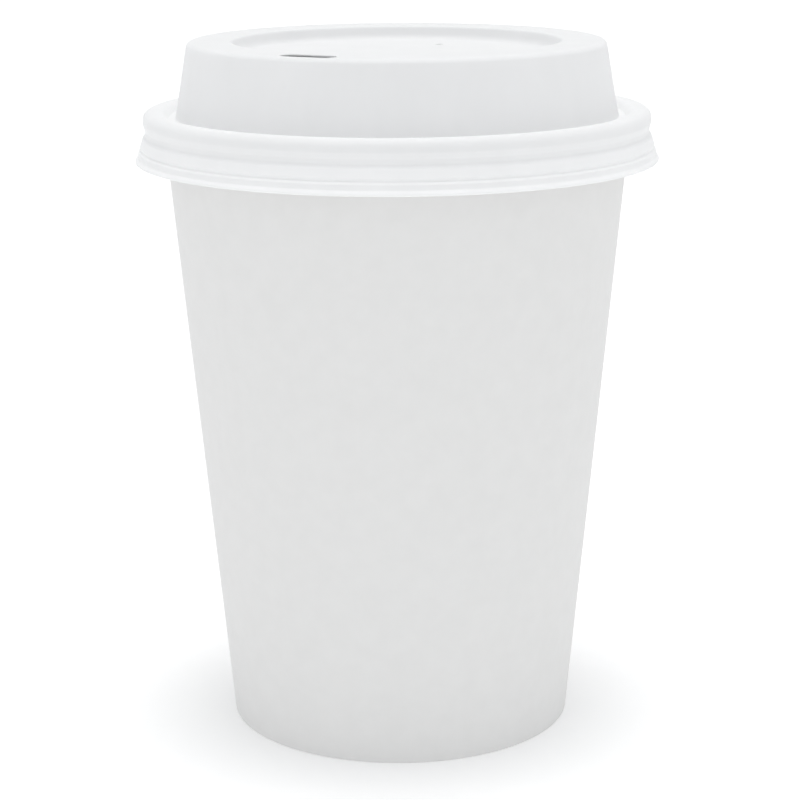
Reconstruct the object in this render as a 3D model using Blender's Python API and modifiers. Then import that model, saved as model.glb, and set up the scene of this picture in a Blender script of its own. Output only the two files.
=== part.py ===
"""Paper coffee cup with a press-on plastic sip lid, at real size.

Metres, +Z up. The origin is the centre of the foot ring, on the surface that the cup stands
on. The lid's sip hole is on the -Y side and the cup's glued side seam is on the +Y side.

Everything here is sheet: the cup's wall and base are paperboard and the lid is formed
plastic. Each piece is one path in the (radius, height) plane, turned about Z and thickened.
"""
import math

import bmesh
import bpy
from mathutils import Matrix, Vector

# Cup, outside sizes
FOOT_RADIUS = 0.03163
RIM_RADIUS = 0.04502
CUP_HEIGHT = 0.1135

# Paperboard of the wall, and the rim and foot that are rolled from it
BOARD = 0.00035
BEAD_RADIUS = 0.00157
BEAD_END_GAP = 0.00012
FOOT_BEND = 0.00021
FOLD_HEIGHT = 0.0060

# Base disc and its turned-down skirt, glued between the wall and the fold
BASE_BOARD = 0.0003
BASE_BEND = 0.0006
RECESS_DEPTH = 0.0071
SKIRT_CLEARANCE = 0.0004
GLUE_GAP = 0.0001

# Side seam, where the blank's two edges overlap
LAP_WIDTH = 0.0060
LAP_EASE = 0.0030
SEAM_EMBED = 0.00015
SEAM_MARGIN = 0.0008
SEAM_DIRECTION = math.radians(90)

# Lid sheet, and how it sits on the rim
LID_SHEET = 0.0004
SEAT_GAP = 0.0002
CREST_CLEARANCE = 0.00043
SNAP_CLEARANCE = 0.00013

# Lid's crest over the rim, the waist that snaps under it, and the gutter inside it
CREST_BEND = 0.0014
CREST_HEIGHT = 0.0022
SNAP_FALL = 0.0011
WAIST_HEIGHT = 0.0009
GUTTER_DEPTH = 0.0013
PLUG_DRAFT = math.radians(45)
GUTTER_BEND = 0.0003

# Three soft ridges of the lid's skirt, below the waist: each corner as (step out, drop)
SKIRT_CORNERS = (
    (0.00045, 0.00055),
    (0.00049, 0.00155),
    (-0.00013, 0.0005),
    (0.00044, 0.00036),
    (0.00006, 0.00095),
    (0.00044, 0.0005),
    (0.00008, 0.00042),
)

# Lid's raised dome, set in from the rim, and the well in its top
DOME_RISE = 0.0122
DOME_INSET = 0.00738
DOME_DRAFT = math.radians(9.8)
DOME_BEND = 0.0010
LAND_WIDTH = 0.00804
WELL_DEPTH = 0.0024
WELL_DRAFT = math.radians(22)
WELL_LIP_BEND = 0.0006
WELL_FLOOR_BEND = 0.0017

# Holes in the lid
SIP_LENGTH = 0.0103
SIP_WIDTH = 0.0040
SIP_EDGE_MARGIN = 0.0034
VENT_DIAMETER = 0.0016
VENT_RADIUS = 0.0185
HOLE_SIDES = 24

# Mesh density
SEGMENTS = 48
ARC_STEP = math.radians(36)
BEAD_STEP = math.radians(30)
MERGE_DISTANCE = 0.00001

# Colours
PAPER_WHITE = (0.84, 0.84, 0.835, 1.0)
PLASTIC_WHITE = (0.87, 0.88, 0.90, 1.0)


def clear_scene():
    for item in list(bpy.data.objects):
        bpy.data.objects.remove(item, do_unlink=True)


def new_collection(name):
    collection = bpy.data.collections.new(name)
    bpy.context.scene.collection.children.link(collection)
    return collection


def new_material(name, colour, roughness):
    material = bpy.data.materials.new(name)
    material.use_nodes = True
    shader = material.node_tree.nodes["Principled BSDF"]
    shader.inputs["Base Color"].default_value = colour
    shader.inputs["Roughness"].default_value = roughness
    shader.inputs["Metallic"].default_value = 0.0
    material.diffuse_color = colour
    return material


# Paths in the (radius, height) plane

def arc(centre, radius, start, end, step):
    """Points of a circular arc from one angle to another, both ends included."""
    count = max(1, math.ceil(abs(end - start) / step))
    points = []
    for index in range(count + 1):
        angle = start + (end - start) * index / count
        points.append(centre + radius * Vector((math.cos(angle), math.sin(angle))))
    return points


def rounded(corners, step=ARC_STEP):
    """A path through corners of (radius, height, bend), each rounded to its bend."""
    path = [Vector(corners[0][:2])]
    for before, corner, after in zip(corners, corners[1:], corners[2:]):
        point = Vector(corner[:2])
        bend = corner[2]
        if bend == 0:
            path.append(point)
            continue
        back = (Vector(before[:2]) - point).normalized()
        ahead = (Vector(after[:2]) - point).normalized()
        half = back.angle(ahead) / 2
        centre = point + (back + ahead).normalized() * bend / math.sin(half)
        first = point + back * bend / math.tan(half) - centre
        last = point + ahead * bend / math.tan(half) - centre
        start = math.atan2(first.y, first.x)
        turn = math.atan2(first.cross(last), first.dot(last))
        path += arc(centre, bend, start, start + turn, step)
    path.append(Vector(corners[-1][:2]))
    return path


# The cup's cone: its middle line runs from the foot to where the rolled rim begins

BEAD_MIDDLE = BEAD_RADIUS - BOARD / 2
BEAD_CENTRE = Vector((RIM_RADIUS - BEAD_RADIUS, CUP_HEIGHT - BEAD_RADIUS))
FOOT_POINT = Vector((FOOT_RADIUS - BOARD / 2, 0.0))


def wall_slope():
    """Angle between the wall and the vertical, with the wall tangent to the rolled rim."""
    reach = BEAD_CENTRE - FOOT_POINT
    return math.atan2(reach.x, reach.y) - math.asin(BEAD_MIDDLE / reach.length)


SLOPE = wall_slope()


def wall_middle(height):
    return FOOT_POINT.x + height * math.tan(SLOPE)


def wall_outside(height):
    return wall_middle(height) + BOARD / 2 / math.cos(SLOPE)


def layer_inside(height, distance):
    """Radius of a layer that lies against the wall, a distance in from its middle."""
    return wall_middle(height) - distance / math.cos(SLOPE)


def turned_sheet(name, path, thickness, offset, material, collection):
    """A path turned about Z and given the sheet's thickness.

    The path runs down the outer side. An offset of 0 centres the sheet on it, and -1 puts
    the whole thickness inside.
    """
    mesh = bpy.data.meshes.new(name)
    vertices = [(point.x, 0.0, point.y) for point in path]
    edges = [(index, index + 1) for index in range(len(path) - 1)]
    mesh.from_pydata(vertices, edges, [])
    mesh.materials.append(material)
    sheet = bpy.data.objects.new(name, mesh)
    collection.objects.link(sheet)
    turn = sheet.modifiers.new("turn", "SCREW")
    turn.axis = "Z"
    turn.steps = SEGMENTS
    turn.render_steps = SEGMENTS
    turn.use_merge_vertices = True
    turn.merge_threshold = MERGE_DISTANCE
    turn.use_smooth_shade = True
    skin = sheet.modifiers.new("sheet", "SOLIDIFY")
    skin.thickness = thickness
    skin.offset = offset
    skin.use_even_offset = True
    return sheet


def add_boolean(target, tool, operation):
    modifier = target.modifiers.new(tool.name, "BOOLEAN")
    modifier.operation = operation
    modifier.object = tool


def as_cutter(name, mesh_data, collection):
    bmesh.ops.recalc_face_normals(mesh_data, faces=mesh_data.faces)
    mesh = bpy.data.meshes.new(name)
    mesh_data.to_mesh(mesh)
    mesh_data.free()
    cutter = bpy.data.objects.new(name, mesh)
    cutter.display_type = "WIRE"
    cutter.hide_render = True
    collection.objects.link(cutter)
    return cutter


# The cup's wall: one blank, rolled at the rim, folded at the foot and lapped at the seam

def curl_end_angle():
    """Where the rolled rim's free edge stops, just short of the wall it has come back to."""
    edge = BEAD_RADIUS + BEAD_END_GAP
    return math.radians(-180) - SLOPE + math.acos((BEAD_MIDDLE - BOARD / 2) / edge)


def cup_wall_path():
    curl = arc(BEAD_CENTRE, BEAD_MIDDLE, curl_end_angle(), math.pi - SLOPE, BEAD_STEP)
    fold_distance = BOARD + BASE_BOARD + 2 * GLUE_GAP
    sole = BOARD / 2
    foot = rounded([
        (curl[-1].x, curl[-1].y, 0),
        (wall_middle(sole), sole, FOOT_BEND),
        (layer_inside(sole, fold_distance), sole, FOOT_BEND),
        (layer_inside(FOLD_HEIGHT, fold_distance), FOLD_HEIGHT, 0),
    ], step=math.radians(60))
    return curl + foot[1:]


def on_wall(angle, offset, height):
    """A point at an angle and a height, offset outwards from the wall's outside."""
    radius = wall_outside(height) + offset
    return Vector((radius * math.cos(angle), radius * math.sin(angle), height))


def seam_tool(name, section, low, high, collection):
    """A strip along the wall, with a section of (angle, offset) points."""
    strip = bmesh.new()
    corners = [strip.verts.new(on_wall(angle, offset, low)) for angle, offset in section]
    end = strip.faces.new(corners)
    grown = bmesh.ops.extrude_face_region(strip, geom=[end])["geom"]
    for vertex in grown:
        if isinstance(vertex, bmesh.types.BMVert):
            angle = math.atan2(vertex.co.y, vertex.co.x)
            offset = vertex.co.xy.length - wall_outside(low)
            vertex.co = on_wall(angle, offset, high)
    return as_cutter(name, strip, collection)


def add_seam(wall, cutters):
    """The outer edge of the blank stands one board proud, and its inner edge leaves a step."""
    outer_edge = SEAM_DIRECTION - LAP_WIDTH / FOOT_RADIUS / 2
    inner_edge = SEAM_DIRECTION + LAP_WIDTH / FOOT_RADIUS / 2
    eased = inner_edge + LAP_EASE / FOOT_RADIUS
    bottom = 2 * BOARD
    top = CUP_HEIGHT - 2 * BEAD_RADIUS - SEAM_MARGIN
    lap = seam_tool("seam_lap", [
        (outer_edge, BOARD),
        (SEAM_DIRECTION, BOARD),
        (inner_edge, BOARD),
        (eased, -SEAM_EMBED),
        (inner_edge, -SEAM_EMBED),
        (SEAM_DIRECTION, -SEAM_EMBED),
        (outer_edge, -SEAM_EMBED),
    ], bottom, top, cutters)
    step = seam_tool("seam_step", [
        (inner_edge, 0.0),
        (eased, -BOARD - SEAM_EMBED),
        (eased, -BOARD - SEAM_MARGIN),
        (inner_edge, -BOARD - SEAM_MARGIN),
    ], RECESS_DEPTH + BASE_BOARD + SEAM_MARGIN, top, cutters)
    add_boolean(wall, lap, "UNION")
    add_boolean(wall, step, "DIFFERENCE")


def make_cup_wall(paper, parts, cutters):
    wall = turned_sheet("cup_wall", cup_wall_path(), BOARD, 0.0, paper, parts)
    add_seam(wall, cutters)
    return wall


# The cup's base: a disc with its edge turned down, pinched between the wall and its fold

def make_cup_base(paper, parts):
    distance = (BOARD + BASE_BOARD) / 2 + GLUE_GAP
    floor = RECESS_DEPTH + BASE_BOARD / 2
    hem = BOARD + SKIRT_CLEARANCE
    path = rounded([
        (0.0, floor, 0),
        (layer_inside(floor, distance), floor, BASE_BEND),
        (layer_inside(hem, distance), hem, 0),
    ])
    return turned_sheet("cup_base", path, BASE_BOARD, 0.0, paper, parts)


# The lid: one formed sheet. Its heights count from the top of the cup's rim

CREST_TOP = SEAT_GAP + LID_SHEET
CREST_RADIUS = RIM_RADIUS + CREST_CLEARANCE + LID_SHEET
WAIST_RADIUS = RIM_RADIUS + SNAP_CLEARANCE + LID_SHEET
GUTTER_FLOOR = CREST_TOP - GUTTER_DEPTH
LAND = CREST_TOP + DOME_RISE
WELL_FLOOR = LAND - WELL_DEPTH
DOME_TOP_RADIUS = RIM_RADIUS - DOME_INSET
WELL_RADIUS = DOME_TOP_RADIUS - LAND_WIDTH


def seat_arc():
    """The crest's inner side, which follows the rolled rim from the plug to the top."""
    centre = Vector((BEAD_CENTRE.x, -BEAD_RADIUS))
    radius = BEAD_RADIUS + SEAT_GAP + LID_SHEET
    return arc(centre, radius, math.pi - PLUG_DRAFT, math.pi / 2, BEAD_STEP)


def gutter_corners(plug_top):
    """From the dome's foot, across the gutter and up the plug that fits inside the rim."""
    dome_base = DOME_TOP_RADIUS + (LAND - GUTTER_FLOOR) * math.tan(DOME_DRAFT)
    plug_base = plug_top.x - (plug_top.y - GUTTER_FLOOR) * math.tan(PLUG_DRAFT)
    bend = min(GUTTER_BEND, (plug_base - dome_base) / 2)
    return [
        (dome_base, GUTTER_FLOOR, bend),
        (plug_base, GUTTER_FLOOR, bend),
        (plug_top.x, plug_top.y, 0),
    ]


def well_and_dome_corners():
    floor_radius = WELL_RADIUS - WELL_DEPTH * math.tan(WELL_DRAFT)
    return [
        (0.0, WELL_FLOOR, 0),
        (floor_radius, WELL_FLOOR, WELL_FLOOR_BEND),
        (WELL_RADIUS, LAND, WELL_LIP_BEND),
        (DOME_TOP_RADIUS, LAND, DOME_BEND),
    ]


def crest_and_skirt_corners():
    """Over the rim's outer side, in to the snap waist, and out in ridges to the lip."""
    radius = WAIST_RADIUS
    height = CREST_TOP - CREST_HEIGHT
    corners = [
        (CREST_RADIUS, CREST_TOP, CREST_BEND),
        (CREST_RADIUS, height, 0),
        (radius, height - SNAP_FALL, 0),
    ]
    height -= SNAP_FALL + WAIST_HEIGHT
    corners.append((radius, height, 0))
    for out, drop in SKIRT_CORNERS:
        radius += out
        height -= drop
        corners.append((radius, height, 0))
    return corners


def lid_path():
    seat = seat_arc()
    top = rounded(well_and_dome_corners() + gutter_corners(seat[0]))
    side = rounded([(seat[-1].x, seat[-1].y, 0)] + crest_and_skirt_corners())
    return top + seat[1:] + side[1:]


def hole_cutter(name, length, width, place, lid, cutters):
    """A slot with round ends along X, or a round hole where its length is its width."""
    slot = bmesh.new()
    deep = 4 * LID_SHEET
    bmesh.ops.create_cone(slot, cap_ends=True, segments=HOLE_SIDES,
                          radius1=width / 2, radius2=width / 2, depth=deep)
    half_side = Matrix.Rotation(math.pi / HOLE_SIDES, 3, "Z")
    bmesh.ops.rotate(slot, verts=slot.verts, matrix=half_side)
    for vertex in slot.verts:
        vertex.co.x += math.copysign((length - width) / 2, vertex.co.x)
    cutter = as_cutter(name, slot, cutters)
    cutter.location = place
    cutter.parent = lid
    add_boolean(lid, cutter, "DIFFERENCE")


def make_lid(plastic, parts, cutters):
    lid = turned_sheet("lid", lid_path(), LID_SHEET, -1.0, plastic, parts)
    sip_centre = DOME_TOP_RADIUS - SIP_EDGE_MARGIN
    hole_cutter("sip_hole", SIP_LENGTH, SIP_WIDTH, (0, -sip_centre, LAND), lid, cutters)
    hole_cutter("vent_hole", VENT_DIAMETER, VENT_DIAMETER, (0, VENT_RADIUS, WELL_FLOOR),
                lid, cutters)
    lid.location = (0, 0, CUP_HEIGHT)
    return lid


def build():
    clear_scene()
    parts = new_collection("paper_coffee_cup")
    cutters = new_collection("cutters")
    paper = new_material("white_paperboard", PAPER_WHITE, 0.62)
    plastic = new_material("white_lid_plastic", PLASTIC_WHITE, 0.32)
    stand = bpy.data.objects.new("coffee_cup", None)
    parts.objects.link(stand)
    pieces = [
        make_cup_wall(paper, parts, cutters),
        make_cup_base(paper, parts),
        make_lid(plastic, parts, cutters),
    ]
    for piece in pieces:
        piece.parent = stand


build()
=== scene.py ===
"""Paper coffee cup with a press-on plastic sip lid, dressed for a studio picture.

Metres, +Z up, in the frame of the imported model. The cup's wall, its base and the lid each
get a finely turned mesh of the same size as their solid, and a material of their own.
"""
import math

import bmesh
import bpy
from mathutils import Matrix, Vector


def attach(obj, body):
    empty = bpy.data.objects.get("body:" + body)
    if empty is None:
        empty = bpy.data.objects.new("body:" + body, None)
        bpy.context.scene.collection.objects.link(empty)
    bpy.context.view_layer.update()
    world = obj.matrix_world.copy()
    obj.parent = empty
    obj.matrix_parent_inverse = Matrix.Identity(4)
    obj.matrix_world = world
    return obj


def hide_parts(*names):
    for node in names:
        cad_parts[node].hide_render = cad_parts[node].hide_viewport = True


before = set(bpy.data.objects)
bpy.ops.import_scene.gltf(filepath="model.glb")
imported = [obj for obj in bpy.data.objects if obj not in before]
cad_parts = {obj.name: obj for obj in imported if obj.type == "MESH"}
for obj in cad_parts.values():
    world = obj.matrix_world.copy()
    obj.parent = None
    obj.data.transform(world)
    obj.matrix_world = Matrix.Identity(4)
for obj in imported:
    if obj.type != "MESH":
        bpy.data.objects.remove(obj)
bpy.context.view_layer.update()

# Sizes that the solids share
FOOT_RADIUS = 0.03163
RIM_RADIUS = 0.04502
CUP_HEIGHT = 0.1135
BOARD = 0.00035
BEAD_RADIUS = 0.00157
BEAD_END_GAP = 0.00012
FOOT_BEND = 0.00021
FOLD_HEIGHT = 0.0060
BASE_BOARD = 0.0003
BASE_BEND = 0.0006
RECESS_DEPTH = 0.0071
SKIRT_CLEARANCE = 0.0004
GLUE_GAP = 0.0001
LAP_WIDTH = 0.0060
LAP_EASE = 0.0030
SEAM_MARGIN = 0.0008
LID_SHEET = 0.0004
SEAT_GAP = 0.0002
CREST_CLEARANCE = 0.00043
SNAP_CLEARANCE = 0.00013
CREST_BEND = 0.0014
CREST_HEIGHT = 0.0022
SNAP_FALL = 0.0011
WAIST_HEIGHT = 0.0009
GUTTER_DEPTH = 0.0013
PLUG_DRAFT = math.radians(45)
GUTTER_BEND = 0.0003
DOME_RISE = 0.0122
DOME_INSET = 0.00738
DOME_DRAFT = math.radians(9.8)
DOME_BEND = 0.0010
LAND_WIDTH = 0.00804
WELL_DEPTH = 0.0024
WELL_DRAFT = math.radians(22)
WELL_LIP_BEND = 0.0006
WELL_FLOOR_BEND = 0.0017
SIP_LENGTH = 0.0103
SIP_WIDTH = 0.0040
SIP_EDGE_MARGIN = 0.0034
VENT_DIAMETER = 0.0016
VENT_RADIUS = 0.0185

# Three soft ridges of the lid's skirt, below the waist: each corner as (step out, drop, bend)
SNAP_BEND = 0.0010
WAIST_BEND = 0.0008
SKIRT_CORNERS = (
    (0.00045, 0.00055, 0.0005),
    (0.00049, 0.00155, 0.00045),
    (-0.00013, 0.0005, 0.00025),
    (0.00044, 0.00036, 0.00035),
    (0.00006, 0.00095, 0.0003),
    (0.00044, 0.0005, 0.0004),
    (0.00008, 0.00042, 0.0),
)

# Detail that only the dressed pieces have
SEAM_FADE = 0.0003        # height over which the lap rises from the wall
RIM_STEP = 0.0001         # the lap's step, as it runs on through the rolled rim
KNURLS = 120
KNURL_DEPTH = 0.00007
KNURL_FADE = 0.0006
EDGE_BREAK = 0.0001       # softness of the lid's punched and trimmed edges
EDGE_BREAK_STEPS = 3

# Fineness of the turned meshes
LID_COLUMNS = 240
BASE_COLUMNS = 240
WALL_COLUMNS = 480
LAP_COLUMNS = 6
EASE_COLUMNS = 4
HOLE_SIDES = 48
BEND_STEP = math.radians(9)
BEAD_STEP = math.radians(7.5)
WELD = 0.000002           # points closer than this are one
HOLD = 0.00012            # distance from a bend, or a hole, to the row that holds it
CRISP = math.radians(40)  # turn from which an edge counts as crisp

# Camera, fitted to the photograph
CAMERA_DISTANCE = 0.417285
CAMERA_HEIGHT = 0.162449
CAMERA_SIDE = 0.000224
CAMERA_PITCH = math.radians(13.864)
CAMERA_ROLL = math.radians(-0.355)
CAMERA_AZIMUTH = math.radians(25.5)
CAMERA_LENS = 103.532
CAMERA_REACH = (0.01, 100)
FILM_WIDTH = 36.0


def place_camera():
    turn = Matrix.Rotation(CAMERA_AZIMUTH, 4, "Z")
    place = Matrix.Translation((CAMERA_SIDE, -CAMERA_DISTANCE, CAMERA_HEIGHT))
    tilt = Matrix.Rotation(math.pi / 2 - CAMERA_PITCH, 4, "X")
    roll = Matrix.Rotation(CAMERA_ROLL, 4, "Z")
    data = bpy.data.cameras.new("camera")
    data.lens = CAMERA_LENS
    data.sensor_width = FILM_WIDTH
    data.clip_start, data.clip_end = CAMERA_REACH
    camera = bpy.data.objects.new("camera", data)
    camera.matrix_world = turn @ place @ tilt @ roll
    bpy.context.scene.collection.objects.link(camera)
    bpy.context.scene.camera = camera


# Floor and light

FLOOR_SIZE = 30.0
FLOOR_WHITE = (0.88, 0.88, 0.88, 1)
FLOOR_GLOW = 0.22
SKY_COLOUR = (0.968, 0.984, 1.0, 1)
SKY_STRENGTH = 0.67
TOP_LIGHT = 1.18
TOP_LIGHT_WIDTH = math.radians(22)
TOP_LIGHT_COLOUR = (1.0, 0.995, 0.985)
TOP_LIGHT_LEAN = math.radians(0.5)
TOP_LIGHT_AZIMUTH = math.radians(115)


def make_floor():
    bm = bmesh.new()
    bmesh.ops.create_grid(bm, x_segments=1, y_segments=1, size=FLOOR_SIZE)
    floor = new_object("floor", bm)
    material = new_material("pale_floor")
    shader = material.node_tree.nodes["Principled BSDF"]
    shader.inputs["Base Color"].default_value = FLOOR_WHITE
    shader.inputs["Roughness"].default_value = 1.0
    shader.inputs["Specular IOR Level"].default_value = 0.0
    shader.inputs["Emission Color"].default_value = (1, 1, 1, 1)
    shader.inputs["Emission Strength"].default_value = FLOOR_GLOW
    floor.data.materials.append(material)


def light_scene():
    scene = bpy.context.scene
    scene.view_settings.view_transform = "Standard"
    scene.view_settings.look = "None"
    world = bpy.data.worlds.new("studio")
    world.use_nodes = True
    sky = world.node_tree.nodes["Background"]
    sky.inputs["Color"].default_value = SKY_COLOUR
    sky.inputs["Strength"].default_value = SKY_STRENGTH
    scene.world = world
    data = bpy.data.lights.new("top_light", "SUN")
    data.energy = TOP_LIGHT
    data.angle = TOP_LIGHT_WIDTH
    data.color = TOP_LIGHT_COLOUR
    light = bpy.data.objects.new("top_light", data)
    lean = Matrix.Rotation(TOP_LIGHT_LEAN, 4, "X")
    light.matrix_world = Matrix.Rotation(TOP_LIGHT_AZIMUTH, 4, "Z") @ lean
    scene.collection.objects.link(light)


# Materials: each pair of tints runs from dark to light. Grain sizes and bump depths are in metres

BOARD_TINTS = (0.818, 0.814, 0.806, 1), (0.838, 0.834, 0.826, 1)
BOARD_ROUGHNESS = 0.52, 0.66
CLOUD_SIZE = 0.0035
CLOUD_DEPTH = 0.00002
FIBRE_SIZE = 0.00045
FIBRE_DEPTH = 0.000012

CUT_TINTS = (0.70, 0.69, 0.655, 1), (0.85, 0.84, 0.81, 1)
CUT_FIBRE_SIZE = 0.00018
CUT_FIBRE_DEPTH = 0.00006

PLASTIC_TINTS = (0.885, 0.886, 0.889, 1), (0.900, 0.901, 0.904, 1)
PLASTIC_ROUGHNESS = 0.50, 0.60
DRAW_SIZE = 0.006
DRAW_DEPTH = 0.00004
SATIN_SIZE = 0.0008
SATIN_DEPTH = 0.000006

# Noise seldom leaves this range
NOISE_LOW = 0.3
NOISE_HIGH = 0.7


def new_material(name):
    material = bpy.data.materials.new(name)
    material.use_nodes = True
    return material


class Nodes:
    """Short ways to add and join nodes in one material."""

    def __init__(self, material):
        self.tree = material.node_tree
        self.shader = self.tree.nodes["Principled BSDF"]
        self.place = self.add("ShaderNodeTexCoord").outputs["Object"]

    def add(self, kind, **settings):
        node = self.tree.nodes.new(kind)
        for name, value in settings.items():
            setattr(node, name, value)
        return node

    def join(self, source, target):
        self.tree.links.new(source, target)

    def stretched(self, scale):
        mapping = self.add("ShaderNodeMapping")
        mapping.inputs["Scale"].default_value = scale
        self.join(self.place, mapping.inputs["Vector"])
        return mapping.outputs["Vector"]

    def grain(self, size, detail=3.0, roughness=0.55, stretch=(1, 1, 1)):
        """Noise whose lumps are about the given size in metres."""
        texture = self.add("ShaderNodeTexNoise")
        texture.inputs["Scale"].default_value = 1 / size
        texture.inputs["Detail"].default_value = detail
        texture.inputs["Roughness"].default_value = roughness
        self.join(self.stretched(stretch), texture.inputs["Vector"])
        return texture.outputs["Fac"]

    def ranged(self, value, low, high):
        """A grain value spread over the range from low to high."""
        spread = self.add("ShaderNodeMapRange")
        spread.inputs["From Min"].default_value = NOISE_LOW
        spread.inputs["From Max"].default_value = NOISE_HIGH
        spread.inputs["To Min"].default_value = low
        spread.inputs["To Max"].default_value = high
        self.join(value, spread.inputs["Value"])
        return spread.outputs["Result"]

    def tinted(self, value, dark, light):
        """A colour between dark and light, by a grain value."""
        ramp = self.add("ShaderNodeMix", data_type="RGBA")
        ramp.inputs["A"].default_value = dark
        ramp.inputs["B"].default_value = light
        self.join(self.ranged(value, 0.0, 1.0), ramp.inputs["Factor"])
        return ramp.outputs["Result"]

    def bumped(self, value, distance, under=None):
        bump = self.add("ShaderNodeBump")
        bump.inputs["Strength"].default_value = 1.0
        bump.inputs["Distance"].default_value = distance
        self.join(value, bump.inputs["Height"])
        if under is not None:
            self.join(under, bump.inputs["Normal"])
        return bump.outputs["Normal"]

    def set(self, name, value):
        socket = self.shader.inputs[name]
        if isinstance(value, bpy.types.NodeSocket):
            self.join(value, socket)
        else:
            socket.default_value = value


def coated_board():
    """Smooth white cup stock: faint fibre clouds under a thin coat."""
    material = new_material("coated_white_board")
    nodes = Nodes(material)
    clouds = nodes.grain(CLOUD_SIZE, detail=4)
    fibres = nodes.grain(FIBRE_SIZE, detail=3, stretch=(1, 1, 0.45))
    nodes.set("Base Color", nodes.tinted(clouds, *BOARD_TINTS))
    nodes.set("Roughness", nodes.ranged(fibres, *BOARD_ROUGHNESS))
    nodes.set("Specular IOR Level", 0.35)
    nodes.set("Normal", nodes.bumped(fibres, FIBRE_DEPTH, nodes.bumped(clouds, CLOUD_DEPTH)))
    return material


def cut_board():
    """The board's bare edge, where its fibres show."""
    material = new_material("cut_board_edge")
    nodes = Nodes(material)
    fibres = nodes.grain(CUT_FIBRE_SIZE, detail=4, roughness=0.7)
    nodes.set("Base Color", nodes.tinted(fibres, *CUT_TINTS))
    nodes.set("Roughness", 0.9)
    nodes.set("Specular IOR Level", 0.1)
    nodes.set("Normal", nodes.bumped(fibres, CUT_FIBRE_DEPTH))
    return material


def lid_plastic():
    """Milky formed sheet: satin, a little uneven, and thin enough to let some light through."""
    material = new_material("milky_lid_plastic")
    nodes = Nodes(material)
    draw = nodes.grain(DRAW_SIZE, detail=2, stretch=(1, 1, 0.35))
    satin = nodes.grain(SATIN_SIZE, detail=3)
    nodes.set("Base Color", nodes.tinted(draw, *PLASTIC_TINTS))
    nodes.set("Roughness", nodes.ranged(satin, *PLASTIC_ROUGHNESS))
    nodes.set("Specular IOR Level", 0.2)
    nodes.set("Subsurface Weight", 1.0)
    nodes.set("Subsurface Radius", (1.0, 1.0, 1.0))
    nodes.set("Subsurface Scale", LID_SHEET)
    nodes.set("Normal", nodes.bumped(satin, SATIN_DEPTH, nodes.bumped(draw, DRAW_DEPTH)))
    return material


# Turned sheet: a path drawn in the (radius, height) plane, spun about Z and thickened

class Path:
    """A line of edges drawn stroke by stroke, with its tip at the last vertex."""

    def __init__(self, radius, height):
        self.bm = bmesh.new()
        self.tip = self.bm.verts.new((radius, 0.0, height))

    def line_to(self, point):
        drawn = bmesh.ops.extrude_vert_indiv(self.bm, verts=[self.tip])
        self.tip = drawn["verts"][0]
        self.tip.co = (point[0], 0.0, point[1])

    def bend(self, centre, turn, step=BEND_STEP):
        """Swing round a centre, anticlockwise seen with the radius rightwards and +Z up."""
        count = max(1, math.ceil(abs(turn) / step))
        drawn = bmesh.ops.spin(self.bm, geom=[self.tip], cent=(centre[0], 0.0, centre[1]),
                               axis=(0, -1, 0), angle=turn, steps=count)
        self.tip = drawn["geom_last"][0]

    def through(self, corners):
        """Lines through (radius, height, bend) corners, each rounded to its bend."""
        points = [Vector((self.tip.co.x, self.tip.co.z))]
        points += [Vector(corner[:2]) for corner in corners]
        for index, corner in enumerate(corners[:-1]):
            before, point, after = points[index:index + 3]
            radius = corner[2]
            if radius == 0:
                self.line_to(point)
                continue
            back = (before - point).normalized()
            ahead = (after - point).normalized()
            half = back.angle(ahead) / 2
            reach = radius / math.tan(half)
            centre = point + (back + ahead).normalized() * radius / math.sin(half)
            start = point + back * reach - centre
            end = point + ahead * reach - centre
            self.hold_before(point + back * reach, back)
            turn = math.atan2(start.x * end.y - start.y * end.x, start.dot(end))
            self.bend(centre, turn)
            if (after - point).length > reach + 3 * HOLD:
                self.line_to(point + ahead * (reach + HOLD))
        self.line_to(points[-1])

    def hold_before(self, point, back):
        """A line up to a bend, with a holding vertex close to it if there is room."""
        here = Vector((self.tip.co.x, self.tip.co.z))
        if (here - point).length > 3 * HOLD:
            self.line_to(point + back * HOLD)
        self.line_to(point)


def spin_about_axis(bm, turns):
    """Spin the drawn path about Z in stretches of (angle, steps)."""
    front = bm.verts[:] + bm.edges[:]
    for angle, steps in turns:
        spun = bmesh.ops.spin(bm, geom=front, cent=(0, 0, 0), axis=(0, 0, 1),
                              angle=angle, steps=steps)
        front = spun["geom_last"]
    bmesh.ops.remove_doubles(bm, verts=bm.verts, dist=WELD)
    bmesh.ops.recalc_face_normals(bm, faces=bm.faces)


def thicken(bm, thickness):
    """Add the sheet's other face behind the drawn one. Cut edges take the second material."""
    drawn = set(bm.verts)
    bmesh.ops.solidify(bm, geom=bm.faces[:], thickness=thickness)
    for face in bm.faces:
        on_drawn = sum(vertex in drawn for vertex in face.verts)
        face.material_index = int(0 < on_drawn < len(face.verts))
        face.smooth = True


def crisp_edges(bm):
    return [edge for edge in bm.edges if edge.is_manifold and edge.calc_face_angle() > CRISP]


def new_object(name, bm):
    mesh = bpy.data.meshes.new(name)
    bm.to_mesh(mesh)
    bm.free()
    made = bpy.data.objects.new(name, mesh)
    bpy.context.scene.collection.objects.link(made)
    return made


def dress(name, bm, materials, body, node):
    """Turn a finished mesh into a piece that stands for a solid."""
    for edge in crisp_edges(bm):
        edge.smooth = False
    piece = new_object(name, bm)
    for material in materials:
        piece.data.materials.append(material)
    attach(piece, body)
    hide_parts(node)


def ease(value, start, end):
    """0 before start and 1 after end, turning smoothly between them."""
    share = min(max((value - start) / (end - start), 0.0), 1.0)
    return share * share * (3 - 2 * share)


# The cup's cone: its middle line runs from the foot to where the rolled rim begins

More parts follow.
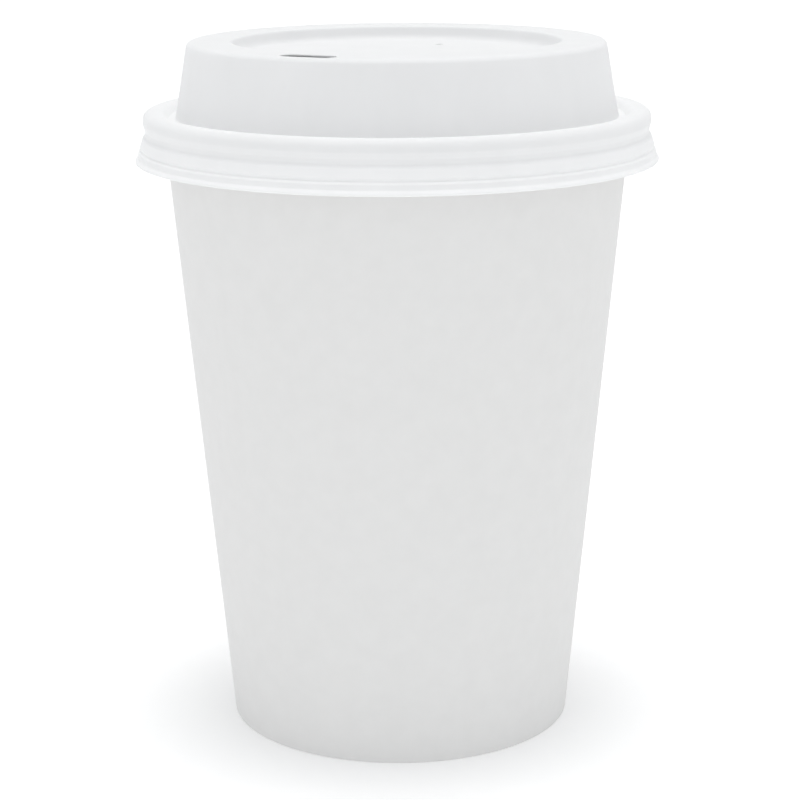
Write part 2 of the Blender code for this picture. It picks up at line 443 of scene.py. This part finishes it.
BEAD_MIDDLE = BEAD_RADIUS - BOARD / 2
BEAD_CENTRE = Vector((RIM_RADIUS - BEAD_RADIUS, CUP_HEIGHT - BEAD_RADIUS))
FOOT_POINT = Vector((FOOT_RADIUS - BOARD / 2, 0.0))
REACH = BEAD_CENTRE - FOOT_POINT
SLOPE = math.atan2(REACH.x, REACH.y) - math.asin(BEAD_MIDDLE / REACH.length)


def wall_middle(height):
    return FOOT_POINT.x + height * math.tan(SLOPE)


def layer(height, distance):
    """Radius of a layer along the wall, at a distance outwards from its middle."""
    return wall_middle(height) + distance / math.cos(SLOPE)


# Side seam, as angles from where the outer edge of the blank ends

SEAM_SLIT = math.radians(0.03)
LAP_ANGLE = LAP_WIDTH / FOOT_RADIUS
EASE_ANGLE = LAP_EASE / FOOT_RADIUS
OUTER_EDGE = math.radians(90) - LAP_ANGLE / 2
LAP_LOW = 2 * BOARD
STEP_LOW = RECESS_DEPTH + BASE_BOARD + SEAM_MARGIN
LAP_HIGH = CUP_HEIGHT - 2 * BEAD_RADIUS - SEAM_MARGIN


def shape_seam(bm):
    """Lift the lapped edge one board proud outside, and step the buried edge inside."""
    for vertex in bm.verts:
        angle = (math.atan2(vertex.co.y, vertex.co.x) - OUTER_EDGE) % (2 * math.pi)
        if angle > LAP_ANGLE + EASE_ANGLE:
            continue
        radius = vertex.co.xy.length
        height = vertex.co.z
        spot = Vector((radius, height))
        proud = angle > SEAM_SLIT / 2
        buried = angle > LAP_ANGLE + SEAM_SLIT / 2
        run_out = 1 - max(angle - LAP_ANGLE, 0) / EASE_ANGLE
        offset = (radius - wall_middle(height)) * math.cos(SLOPE)
        shift = Vector((0.0, 0.0))
        if height > LAP_HIGH + SEAM_FADE:
            from_bead = spot - BEAD_CENTRE
            if buried and from_bead.length > BEAD_MIDDLE:
                shift = -from_bead.normalized() * RIM_STEP * run_out
        elif abs(offset) < BOARD:
            across = Vector((math.cos(SLOPE), -math.sin(SLOPE))) * BOARD * run_out
            top = ease(height, LAP_HIGH, LAP_HIGH - SEAM_FADE)
            if offset > 0 and proud:
                shift = across * top * ease(height, LAP_LOW, LAP_LOW + SEAM_FADE)
            elif offset < 0 and buried:
                top = max(top, RIM_STEP / BOARD)
                shift = across * top * ease(height, STEP_LOW, STEP_LOW + SEAM_FADE)
        outwards = Vector((vertex.co.x, vertex.co.y, 0.0)).normalized()
        vertex.co += outwards * shift.x + Vector((0, 0, shift.y))


def shape_knurl(bm):
    """Press fine upright ridges into the fold that grips the base."""
    fold = -(BOARD + BASE_BOARD + 2 * GLUE_GAP) + BOARD / 2
    for vertex in bm.verts:
        radius = vertex.co.xy.length
        offset = (radius - wall_middle(vertex.co.z)) * math.cos(SLOPE)
        if offset > fold + BOARD / 10:
            continue
        fade = ease(vertex.co.z, 2 * BOARD, 2 * BOARD + KNURL_FADE)
        angle = math.atan2(vertex.co.y, vertex.co.x)
        depth = KNURL_DEPTH * fade * (0.5 - 0.5 * math.cos(KNURLS * angle))
        vertex.co.xy *= 1 - depth / radius


def draw_wall():
    """The wall's outer face: inside the rolled rim, down the cone, and round the foot."""
    inner_roll = BEAD_RADIUS - BOARD
    roll_end = math.acos(inner_roll / (BEAD_RADIUS + BEAD_END_GAP)) - math.pi - SLOPE
    start = BEAD_CENTRE + inner_roll * Vector((math.cos(roll_end), math.sin(roll_end)))
    path = Path(start.x, start.y)
    path.bend(BEAD_CENTRE, math.pi - SLOPE - roll_end, BEAD_STEP)
    for height in (LAP_HIGH + SEAM_FADE, LAP_HIGH, LAP_HIGH - SEAM_FADE, LAP_HIGH - 2 * SEAM_FADE,
                   STEP_LOW + 2 * SEAM_FADE, STEP_LOW + SEAM_FADE, STEP_LOW,
                   LAP_LOW + 2 * SEAM_FADE, LAP_LOW + SEAM_FADE, LAP_LOW):
        path.line_to((layer(height, BOARD / 2), height))
    fold = -(BOARD + BASE_BOARD + 2 * GLUE_GAP) - BOARD / 2
    path.through([
        (layer(0, BOARD / 2), 0, FOOT_BEND + BOARD / 2),
        (layer(0, fold), 0, FOOT_BEND + BOARD / 2),
        (layer(2 * BOARD, fold), 2 * BOARD, 0),
        (layer(2 * BOARD + KNURL_FADE, fold), 2 * BOARD + KNURL_FADE, 0),
        (layer(FOLD_HEIGHT, fold), FOLD_HEIGHT, 0),
    ])
    return path.bm


def make_cup_wall(board, edge):
    bm = draw_wall()
    bmesh.ops.rotate(bm, verts=bm.verts, cent=(0, 0, 0),
                     matrix=Matrix.Rotation(OUTER_EDGE, 3, "Z"))
    rest = 2 * math.pi - LAP_ANGLE - EASE_ANGLE
    spin_about_axis(bm, [
        (SEAM_SLIT, 1),
        (LAP_ANGLE - SEAM_SLIT, LAP_COLUMNS),
        (SEAM_SLIT, 1),
        (EASE_ANGLE - SEAM_SLIT, EASE_COLUMNS),
        (rest, WALL_COLUMNS),
    ])
    # The cone's outer face looks inwards where it rolls over the rim, so the sheet is turned
    bmesh.ops.reverse_faces(bm, faces=bm.faces)
    thicken(bm, BOARD)
    shape_seam(bm)
    shape_knurl(bm)
    dress("rolled_cup_wall", bm, [board, edge], "cup", "cup_wall")


def make_cup_base(board, edge):
    outside = -(BOARD / 2 + GLUE_GAP)
    floor = RECESS_DEPTH + BASE_BOARD
    hem = BOARD + SKIRT_CLEARANCE
    path = Path(0.0, floor)
    path.through([
        (layer(floor, outside), floor, BASE_BEND + BASE_BOARD / 2),
        (layer(hem, outside), hem, 0),
    ])
    spin_about_axis(path.bm, [(2 * math.pi, BASE_COLUMNS)])
    thicken(path.bm, BASE_BOARD)
    dress("cup_base_disc", path.bm, [board, edge], "cup", "cup_base")


# The lid: one formed sheet, drawn along its upper and outer face

CREST_TOP = CUP_HEIGHT + SEAT_GAP + LID_SHEET
CREST_RADIUS = RIM_RADIUS + CREST_CLEARANCE + LID_SHEET
WAIST_RADIUS = RIM_RADIUS + SNAP_CLEARANCE + LID_SHEET
GUTTER_FLOOR = CREST_TOP - GUTTER_DEPTH
LAND = CREST_TOP + DOME_RISE
WELL_FLOOR = LAND - WELL_DEPTH
DOME_TOP_RADIUS = RIM_RADIUS - DOME_INSET
WELL_RADIUS = DOME_TOP_RADIUS - LAND_WIDTH
HOLE_ROOM = 0.002


def draw_dome(path):
    """Well floor, land, dome and gutter, up to the plug that fits inside the rim."""
    seat_radius = BEAD_RADIUS + SEAT_GAP + LID_SHEET
    plug = BEAD_CENTRE + seat_radius * Vector((-math.cos(PLUG_DRAFT), math.sin(PLUG_DRAFT)))
    dome_base = DOME_TOP_RADIUS + (LAND - GUTTER_FLOOR) * math.tan(DOME_DRAFT)
    plug_base = plug.x - (plug.y - GUTTER_FLOOR) * math.tan(PLUG_DRAFT)
    path.through([
        (VENT_RADIUS - HOLE_ROOM, WELL_FLOOR, 0),
        (VENT_RADIUS + HOLE_ROOM, WELL_FLOOR, 0),
        (WELL_RADIUS - WELL_DEPTH * math.tan(WELL_DRAFT), WELL_FLOOR, WELL_FLOOR_BEND),
        (WELL_RADIUS, LAND, WELL_LIP_BEND),
        (DOME_TOP_RADIUS, LAND, DOME_BEND),
        (dome_base, GUTTER_FLOOR, GUTTER_BEND),
        (plug_base, GUTTER_FLOOR, GUTTER_BEND),
        (plug.x, plug.y, 0),
    ])
    path.bend(BEAD_CENTRE, PLUG_DRAFT - math.pi / 2, BEAD_STEP)


def draw_crest_and_skirt(path):
    """Over the rim's outer side, in to the snap waist, and out in ridges to the lip."""
    radius = WAIST_RADIUS
    height = CREST_TOP - CREST_HEIGHT
    corners = [
        (CREST_RADIUS, CREST_TOP, CREST_BEND),
        (CREST_RADIUS, height, SNAP_BEND),
        (radius, height - SNAP_FALL, WAIST_BEND),
    ]
    height -= SNAP_FALL + WAIST_HEIGHT
    corners.append((radius, height, WAIST_BEND))
    for out, drop, bend in SKIRT_CORNERS:
        radius += out
        height -= drop
        corners.append((radius, height, bend))
    path.through(corners)


def open_hole(bm, place, length, width):
    """Cut a slot with round ends along X, or a round hole, through a flat part of the sheet."""
    window = []
    for face in bm.faces:
        middle = face.calc_center_median() - place
        flat = all(abs(vertex.co.z - place.z) < WELD for vertex in face.verts)
        if flat and abs(middle.x) < length / 2 + HOLE_ROOM / 2 and abs(middle.y) < HOLE_ROOM:
            window.append(face)
    border = {edge for face in window for edge in face.edges}
    bmesh.ops.delete(bm, geom=window, context="FACES")
    frame_edges = [edge for edge in border if edge.is_valid and edge.is_boundary]
    ring = bmesh.ops.create_circle(bm, cap_ends=False, segments=HOLE_SIDES, radius=width / 2)
    inner = ring["verts"]
    bmesh.ops.rotate(bm, verts=inner, cent=(0, 0, 0),
                     matrix=Matrix.Rotation(math.pi / HOLE_SIDES, 3, "Z"))
    loop = list({edge for vertex in inner for edge in vertex.link_edges})
    grown = bmesh.ops.extrude_edge_only(bm, edges=loop)["geom"]
    outer = [item for item in grown if isinstance(item, bmesh.types.BMVert)]
    bmesh.ops.scale(bm, verts=outer, vec=Vector((1, 1, 1)) * (1 + 2 * HOLD / width))
    for vertex in inner + outer:
        vertex.co.x += math.copysign((length - width) / 2, vertex.co.x)
    bmesh.ops.translate(bm, verts=inner + outer, vec=place)
    rim = [edge for edge in {edge for vertex in outer for edge in vertex.link_edges}
           if all(vertex in outer for vertex in edge.verts)]
    bmesh.ops.triangle_fill(bm, use_beauty=True, use_dissolve=False,
                            edges=frame_edges + rim, normal=(0, 0, 1))
    bmesh.ops.recalc_face_normals(bm, faces=bm.faces)


def make_lid(plastic):
    path = Path(0.0, WELL_FLOOR)
    draw_dome(path)
    draw_crest_and_skirt(path)
    bm = path.bm
    spin_about_axis(bm, [(2 * math.pi, LID_COLUMNS)])
    sip_centre = DOME_TOP_RADIUS - SIP_EDGE_MARGIN
    open_hole(bm, Vector((0, -sip_centre, LAND)), SIP_LENGTH, SIP_WIDTH)
    open_hole(bm, Vector((0, VENT_RADIUS, WELL_FLOOR)), VENT_DIAMETER, VENT_DIAMETER)
    thicken(bm, LID_SHEET)
    # The lid's cut edges are of its one plastic
    for face in bm.faces:
        face.material_index = 0
    bmesh.ops.bevel(bm, geom=crisp_edges(bm), offset=EDGE_BREAK, offset_type="OFFSET",
                    segments=EDGE_BREAK_STEPS, profile=0.5, affect="EDGES", material=-1)
    for face in bm.faces:
        face.smooth = True
    dress("formed_sip_lid", bm, [plastic], "lid", "lid")


place_camera()
make_floor()
light_scene()
board = coated_board()
cut_edge = cut_board()
make_cup_wall(board, cut_edge)
make_cup_base(board, cut_edge)
make_lid(lid_plastic())
